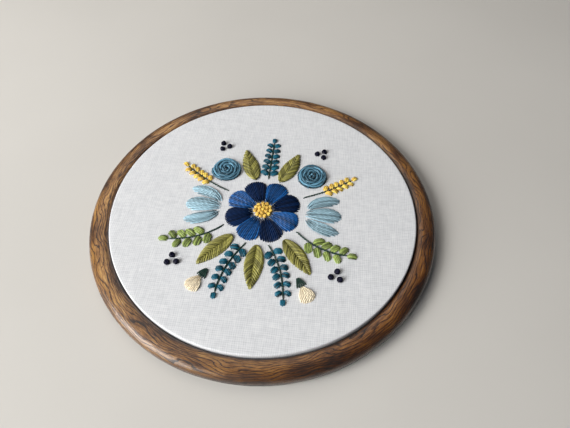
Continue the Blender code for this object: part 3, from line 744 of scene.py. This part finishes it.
dusty_blue_floss = stranded_cotton("dusty_blue", "4E788E", 0.95)
for side, side_name in SIDES:
    rose_name = f"rose_{side_name}"
    chance = random.Random(rose_name)
    rose_middle = design_point(ROSE_ANGLE, ROSE_DISTANCE, side)
    rose_threads = []
    for n in range(ROSE_SPOKES):
        around = math.tau * n / ROSE_SPOKES
        tip = rose_middle + (ROSE_RADIUS - 0.2) * np.array([math.cos(around), math.sin(around)])
        rose_threads.append(straight_stitch(rose_middle, tip, FLOSS_WIDTH, 0.35, 0.2))
    wind = np.linspace(0, math.tau, 40)
    for reach in np.arange(0.6, ROSE_RADIUS - 0.6, ROSE_FILL_SPACING):
        fill = np.column_stack([
            rose_middle[0] + reach * np.cos(wind), rose_middle[1] + reach * np.sin(wind),
            np.full(len(wind), CLOTH_FACE + 0.1),
        ])
        # Painted shade: the filling rings are darkest, to show as shade in the gaps of the weaving.
        rose_threads.append((fill, ROSE_FILL_WIDTH, 0.5, 0.0))
    share = np.linspace(0, 1, round(ROSE_TURNS * ROSE_STEPS))
    wind = side * math.tau * ROSE_TURNS * share
    reach = ROSE_START + (ROSE_RADIUS - ROSE_THREAD / 2 - ROSE_START) * share ** 0.95
    weaving = np.cos(ROSE_SPOKES * wind / 2)
    dome = ROSE_DOME * np.sqrt(1 - (reach / (ROSE_RADIUS + 0.6)) ** 2)
    ends = np.minimum(1, np.minimum(share, 1 - share) * 60)
    height = CLOTH_FACE + 0.2 + (dome + 0.25 + ROSE_WEAVE * weaving) * ends
    sway = reach + ROSE_SWAY * np.sin(wind * 2.3)
    path = np.column_stack([
        rose_middle[0] + sway * np.cos(wind), rose_middle[1] + sway * np.sin(wind), height,
    ])
    for part in range(ROSE_PARTS):
        low = round(part / ROSE_PARTS * (len(path) - 3))
        high = round((part + 1) / ROSE_PARTS * (len(path) - 3)) + 3
        shade = 0.2 + 0.3 * part / (ROSE_PARTS - 1) + chance.uniform(-0.4, 0.4)
        rose_threads.append((path[low:high], ROSE_THREAD, ROSE_THREAD_THICKNESS, shade))
    sew(rose_name + "_woven", rose_threads, dusty_blue_floss, "dusty_blue_thread", rose_name)


# Fronds
# Three ferny fronds: round leaflets in teal satin stitch, in pairs up a dark green stem. The stem is
# in stem stitch, short slanted stitches that overlap by half.
STEM_POINTS = 60
STEM_STITCH, STEM_WIDTH, STEM_THICKNESS = 2.8, 0.62, 0.45
STEM_CROWN, LEAFLET_CROWN = 0.12, 0.28
STEM_SLANT = 0.24  # how far off the stem's line each end of a stitch lies
LEAFLET_SPACING = 0.75  # between the stitches of a leaflet
LEAFLET_OFFSET = 0.45  # from the stem's line to where a leaflet starts
LAST_LEAFLET = 0.88  # share of the stem at which the last pair grows
# A sprig's leaflets are counted for one side. They begin at the share first of its stem, in pairs or
# staggered, lean out by slant degrees, and get smaller towards its tip by the share shrink.
Sprig = namedtuple("Sprig", "angle turn start end bow leaflets first staggered slant length width shrink")
FROND_TOP = Sprig(90, 0, 20.2, 46.5, 0.0, 6, 0.12, False, 60, 4.8, 3.1, 0.3)
FROND_SIDE = Sprig(-75, 3, 20.2, 48.5, 2.0, 6, 0.14, False, 60, 4.6, 3.0, 0.3)


def motif_line(angle, turn, start, end, bow, side, count=33):
    """The curve that a motif follows: polar ends, how far its tip swings on, and how far it bows."""
    base, tip = design_point(angle, start), design_point(angle + turn, end)
    ahead = (tip - base) / np.linalg.norm(tip - base)
    bend = (base + tip) / 2 + bow * 2 * np.array([-ahead[1], ahead[0]])
    return bent_line(*[spot * np.array([side, 1]) for spot in (base, bend, tip)], count)


def stem_threads(line, chance):
    """Stem stitch along a line."""
    length = np.linalg.norm(np.diff(line, axis=0), axis=1).sum()
    count = max(2, round(length / STEM_STITCH * 2))
    threads = []
    for n in range(count - 1):
        begin, end = n / count, min(1.0, (n + 2) / count)
        path = [off_line(line, begin + (end - begin) * share, STEM_SLANT * (2 * share - 1))
                for share in STITCH_SHARES]
        shade = BASE_SHADE + chance.uniform(-0.15, 0.15)
        threads.append(stitch(path, STEM_WIDTH, STEM_CROWN, shade, STEM_THICKNESS))
    return threads


def leaflet_threads(root, ahead, length, width, chance, crown):
    """Satin stitches along one small rounded leaflet."""
    left = np.array([-ahead[1], ahead[0]])
    count = max(3, round(width / LEAFLET_SPACING))
    threads = []
    for n in range(count):
        u = (2 * n + 1) / count - 1
        middle = root + ahead * length / 2 + left * u * width / 2
        half = length / 2 * math.sqrt(1 - (u * 0.92) ** 2) * chance.uniform(0.95, 1.02)
        threads.append(straight_stitch(
            middle - ahead * half, middle + ahead * half, 1.3 * width / count,
            crown * math.sqrt(1 - CROWN_FALL * u * u), BASE_SHADE + chance.uniform(-0.5, 0.5),
        ))
    return threads


def sprig_leaflets(line, sprig, side):
    """Root, direction, length and width of each leaflet up a sprig, with the one at its tip last."""
    spots = []
    last = len(line) - 1
    for hand in (-1, 1):
        for n in range(sprig.leaflets):
            later = 0.5 if sprig.staggered and hand == side else 0.0
            spaces = sprig.leaflets - (0.5 if sprig.staggered else 1.0)
            share = sprig.first + (LAST_LEAFLET - sprig.first) * (n + later) / spaces
            i = min(max(round(share * last), 1), last - 1)
            ahead = (line[i + 1] - line[i - 1]) / np.linalg.norm(line[i + 1] - line[i - 1])
            out = hand * np.array([-ahead[1], ahead[0]])
            lean = math.radians(sprig.slant)
            size = 1 - sprig.shrink * n / sprig.leaflets
            spots.append((line[i] + out * LEAFLET_OFFSET, ahead * math.cos(lean) + out * math.sin(lean),
                          sprig.length * size, sprig.width * size))
    ahead = (line[-1] - line[-2]) / np.linalg.norm(line[-1] - line[-2])
    size = 1 - sprig.shrink
    spots.append((line[-1], ahead, sprig.length * size, sprig.width * size))
    return spots


def sew_sprig(sprig, side, name, material, slot, crown=LEAFLET_CROWN):
    """Sews one sprig: its dark green stem in one piece, and its leaflets in another over it."""
    line = motif_line(sprig.angle, sprig.turn, sprig.start, sprig.end, sprig.bow, side, STEM_POINTS)
    chance = random.Random(name)
    sew(name + "_stem", stem_threads(line, chance), dark_green_floss, "dark_green_thread")
    threads = []
    for root, ahead, length, width in sprig_leaflets(line, sprig, side):
        threads += leaflet_threads(root, ahead, length, width, chance, crown)
    return sew(name + "_leaflets", threads, material, slot, name)


teal_floss = stranded_cotton("teal", "0A4E62", 0.8)
dark_green_floss = stranded_cotton("dark_green", "14342D")
sew_sprig(FROND_TOP, 1, "frond_top", teal_floss, "teal_thread")
for side, side_name in SIDES:
    sew_sprig(FROND_SIDE, side, f"frond_{side_name}", teal_floss, "teal_thread")


# Leaves
# Five broad leaves in olive fishbone stitch. Slanted stitches run from each edge to just past the
# midrib and cross there in turn, so that a fine line shows down the middle.
# Each leaf's name, angle and turn in degrees, where it starts and ends, its bow, half width and sides.
LEAVES = (
    ("leaf_bottom", -90, 0, 20.6, 43.0, 0.0, 4.4, ((1, ""),)),
    ("leaf_top", 72, -2, 20.2, 42.0, -0.4, 4.3, SIDES),
    ("leaf_side", -53, 1, 20.4, 42.0, 0.4, 4.2, SIDES),
)
FISHBONE_SPACING = 1.1
FISHBONE_LEAN = 0.24  # share of the leaf between the two ends of a stitch
FISHBONE_WIDTH, FISHBONE_CROWN = 0.95, 0.3
FISHBONE_CROSSING = 0.32  # how far past the midrib a stitch ends
FISHBONE_BOW = 0.08  # share of the leaf's half width by which a stitch bends


def leaf_half_width(share):
    """Share of its half width that a leaf has there: pointed at both ends, widest below its middle."""
    return max(0.0, math.sin(math.pi * min(max(share, 0.0), 1.0) ** 0.85)) ** 0.8


def fishbone_leaf(line, half_width, chance):
    """Fishbone stitches over a leaf, by turns from its left and its right edge."""
    length = np.linalg.norm(np.diff(line, axis=0), axis=1).sum()
    count = round(length / FISHBONE_SPACING)
    threads = [straight_stitch(off_line(line, 1.0, 0), off_line(line, 0.82, 0), 0.7, 0.15, BASE_SHADE)]
    threads += padding(line, lambda share: half_width * leaf_half_width(share), (0.06, 0.94))
    shares = STITCH_SHARES[:, None]
    for n in range(count + 3):
        high = 1.0 - 0.02 - n / count
        for hand in (1, -1):
            edge = max(0.04, high + chance.uniform(-0.008, 0.008))
            rib = max(0.0, high - FISHBONE_LEAN * (0.35 + 0.65 * leaf_half_width(edge)))
            if edge - rib < 0.03:
                continue
            outer = off_line(line, edge, hand * half_width * max(0.06, leaf_half_width(edge)))
            inner = off_line(line, rib, -hand * FISHBONE_CROSSING)
            halfway = (edge + rib) / 2
            bow = off_line(line, halfway, hand * half_width * FISHBONE_BOW) - off_line(line, halfway, 0)
            path = outer * (1 - shares) + inner * shares + bow * 4 * shares * (1 - shares)
            shade = BASE_SHADE + hand * 0.1 + chance.uniform(-0.4, 0.4)
            threads.append(stitch(path, FISHBONE_WIDTH, FISHBONE_CROWN, shade))
    return threads


olive_floss = stranded_cotton("olive", "848042", 0.75)
for leaf, angle, turn, start, end, bow, half_width, sides in LEAVES:
    for side, side_name in sides:
        leaf_name = f"{leaf}_{side_name}".rstrip("_")
        leaf_line = motif_line(angle, turn, start, end, bow, side)
        leaf_threads = fishbone_leaf(leaf_line, half_width, random.Random(leaf_name))
        sew(leaf_name + "_fishbone", leaf_threads, olive_floss, "olive_thread", leaf_name)


# Buds
# A cream satin bud on each side, held by a dark green calyx of short straight stitches. Both are of
# stranded cotton and are sewn through the cloth.
BUD_ANGLE, BUD_HALF_WIDTH = -60, 3.6
BUD_START, BUD_END = 45.8, 53.5
BUD_CROWN, BUD_THREAD = 0.4, 0.7
CALYX_START, CALYX_END = 40.6, 45.2
CALYX_ROOT, CALYX_SPREAD = 0.35, 2.2  # how far apart its outer stitches start and end, each side
CALYX_THREAD = 0.75
cream_floss = stranded_cotton("cream", "EFE0C4", 0.2)
for side, side_name in SIDES:
    bud_name, calyx_name = f"bud_{side_name}", f"calyx_{side_name}"
    chance = random.Random(bud_name)
    bud_line = motif_line(BUD_ANGLE, 0, BUD_START, BUD_END, 0.0, side)
    bud_threads = satin_petal(bud_line, open_half_width(BUD_HALF_WIDTH), -0.1, chance,
                              BUD_CROWN, BUD_THREAD)
    sew(bud_name + "_satin", bud_threads, cream_floss, "cream_thread", bud_name)
    calyx_line = motif_line(BUD_ANGLE, 0, CALYX_START, CALYX_END, 0.0, side)
    calyx_threads = []
    for u in (-1.0, 1.0, -0.5, 0.5, 0.0):
        root = off_line(calyx_line, 0.0, u * CALYX_ROOT)
        spread = off_line(calyx_line, 1.0, u * CALYX_SPREAD) - off_line(calyx_line, 1.0, 0)
        tip = off_line(calyx_line, 1.0 + 0.12 * (1 - abs(u)), 0) + spread
        shade = BASE_SHADE + chance.uniform(-0.15, 0.15)
        calyx_threads.append(straight_stitch(root, tip, CALYX_THREAD, 0.2, shade))
    sew(calyx_name + "_stitches", calyx_threads, dark_green_floss, "dark_green_thread", calyx_name)


# Wheat ears
# A gold ear of wheat on each side: plump grains in satin stitch, in pairs up the outer half of a
# dark green stem in stem stitch.
WHEAT = Sprig(28, 1.5, 21.5, 49.5, -1.0, 5, 0.42, False, 45, 3.8, 2.2, 0.1)
GRAIN_CROWN = 0.4
for side, side_name in SIDES:
    sew_sprig(WHEAT, side, f"wheat_{side_name}", gold_floss, "gold_thread", GRAIN_CROWN)


# Leafy sprays
# A spray on each side with light green leaflets in satin stitch, which grow by turns from a dark
# green stem in stem stitch.
SPRAY = Sprig(-31, 4, 20.4, 47.0, -2.6, 4, 0.28, True, 50, 6.2, 3.5, 0.2)
light_green_floss = stranded_cotton("light_green", "82934F", 0.7)
for side, side_name in SIDES:
    sew_sprig(SPRAY, side, f"spray_{side_name}", light_green_floss, "light_green_thread")


# Berries
# Four groups of three berries, each one big French knot in inky blue floss, which ends in its own
# middle and goes down through the cloth there.
BERRY_TRIOS = (("berry_top", 57, 48.5), ("berry_low", -41, 49.5))  # name, angle, distance
BERRY_SPREAD, BERRY_RADIUS = 2.4, 1.5
ink_floss = stranded_cotton("ink", "06071F", 0.5, 0.15)
for trio, angle, distance in BERRY_TRIOS:
    for side, side_name in SIDES:
        for n in range(3):
            berry_name = f"{trio}_{side_name}_{n + 1}"
            chance = random.Random(berry_name)
            around = math.radians(angle + 120 * n)
            spread = BERRY_SPREAD * np.array([math.cos(around), math.sin(around)])
            place = (design_point(angle, distance) + spread) * np.array([side, 1])
            knot = french_knot(place, BERRY_RADIUS, 0.0, chance)
            sew(berry_name + "_knot", [knot], ink_floss, "ink_thread", berry_name)


# Table and light
# A plain pale floor under three soft lights: a window at the left, a lower and wider one that gives
# the ring its shine at the lower left, and a weak light above. All their places are in metres.
FLOOR_SIZE = 8.0
HOOP_MIDDLE = (0.0, 0.0, 0.0)


def pale_matt_paint():
    """Matt pale paint, so even that nothing on it draws the eye."""
    material, tree, shader = new_material("pale_matt_paint", Roughness=0.85)
    place = add(tree, "TexCoord", {}).outputs["Object"]
    cloud = add(tree, "TexNoise", {"Vector": place, "Scale": 6.0, "Detail": 3.0})
    tint = add(tree, "ValToRGB", {0: cloud}, stops=[(0.3, "D3D0CB"), (0.7, "D9D6D1")])
    feed(tree, shader, Base_Color=tint)
    return material


def add_light(name, place, aim, width, height, power, colour):
    """A rectangular area light at a place in metres, turned to its aim."""
    lamp = bpy.data.lights.new(name, "AREA")
    lamp.shape = "RECTANGLE"
    lamp.size, lamp.size_y = width, height
    lamp.energy = power
    lamp.color = linear_colour(colour)[:3]
    light = bpy.data.objects.new(name, lamp)
    light.location = place
    light.rotation_euler = (Vector(aim) - Vector(place)).to_track_quat("-Z", "Y").to_euler()
    bpy.context.scene.collection.objects.link(light)


floor_mesh = bpy.data.meshes.new("floor")
half = FLOOR_SIZE / 2
floor_mesh.from_pydata([(-half, -half, 0), (half, -half, 0), (half, half, 0), (-half, half, 0)], [],
                       [(0, 1, 2, 3)])
floor_mesh.materials.append(pale_matt_paint())
floor = bpy.data.objects.new("floor", floor_mesh)
bpy.context.scene.collection.objects.link(floor)

add_light("window", (-0.836, -0.39, 0.72), HOOP_MIDDLE, 0.5, 0.5, 5.6, "FFFFFF")
add_light("low_window", (-0.88, -0.77, 0.5), HOOP_MIDDLE, 1.0, 0.95, 19.5, "FFFEFA")
add_light("ceiling", (-0.3, 0.45, 0.75), HOOP_MIDDLE, 0.8, 0.8, 2.6, "FFF8EE")
world = bpy.data.worlds.new("studio")
world.use_nodes = True
world.node_tree.nodes["Background"].inputs["Color"].default_value = linear_colour("CCD6E6")
world.node_tree.nodes["Background"].inputs["Strength"].default_value = 0.07
bpy.context.scene.world = world
bpy.context.scene.view_settings.view_transform = "Standard"


# Camera
# It stands where the photo was taken from: it looks down on the hoop at 53 degrees, from a little to
# the right of it, and leans by one degree.
CAMERA_PLACE = Vector((0.0234, -0.1328, 0.1871))
CAMERA_AIM = Vector((0.0110, -0.0038, 0.0085))
CAMERA_ROLL = math.radians(0.98)
PICTURE_WIDTH, FOCAL_LENGTH = 570, 450  # both in pixels
SENSOR = 36.0
lens = bpy.data.cameras.new("camera")
lens.sensor_width = SENSOR
lens.lens = SENSOR * FOCAL_LENGTH / PICTURE_WIDTH
lens.clip_start = 0.01
camera = bpy.data.objects.new("camera", lens)
ahead = (CAMERA_AIM - CAMERA_PLACE).normalized()
right = ahead.cross(Vector((0, 0, 1))).normalized()
up = right.cross(ahead)
leaned_right = right * math.cos(CAMERA_ROLL) + up * math.sin(CAMERA_ROLL)
leaned_up = up * math.cos(CAMERA_ROLL) - right * math.sin(CAMERA_ROLL)
camera.matrix_world = Matrix.Translation(CAMERA_PLACE) @ Matrix(
    (leaned_right, leaned_up, -ahead)).transposed().to_4x4()
bpy.context.scene.collection.objects.link(camera)
bpy.context.scene.camera = camera
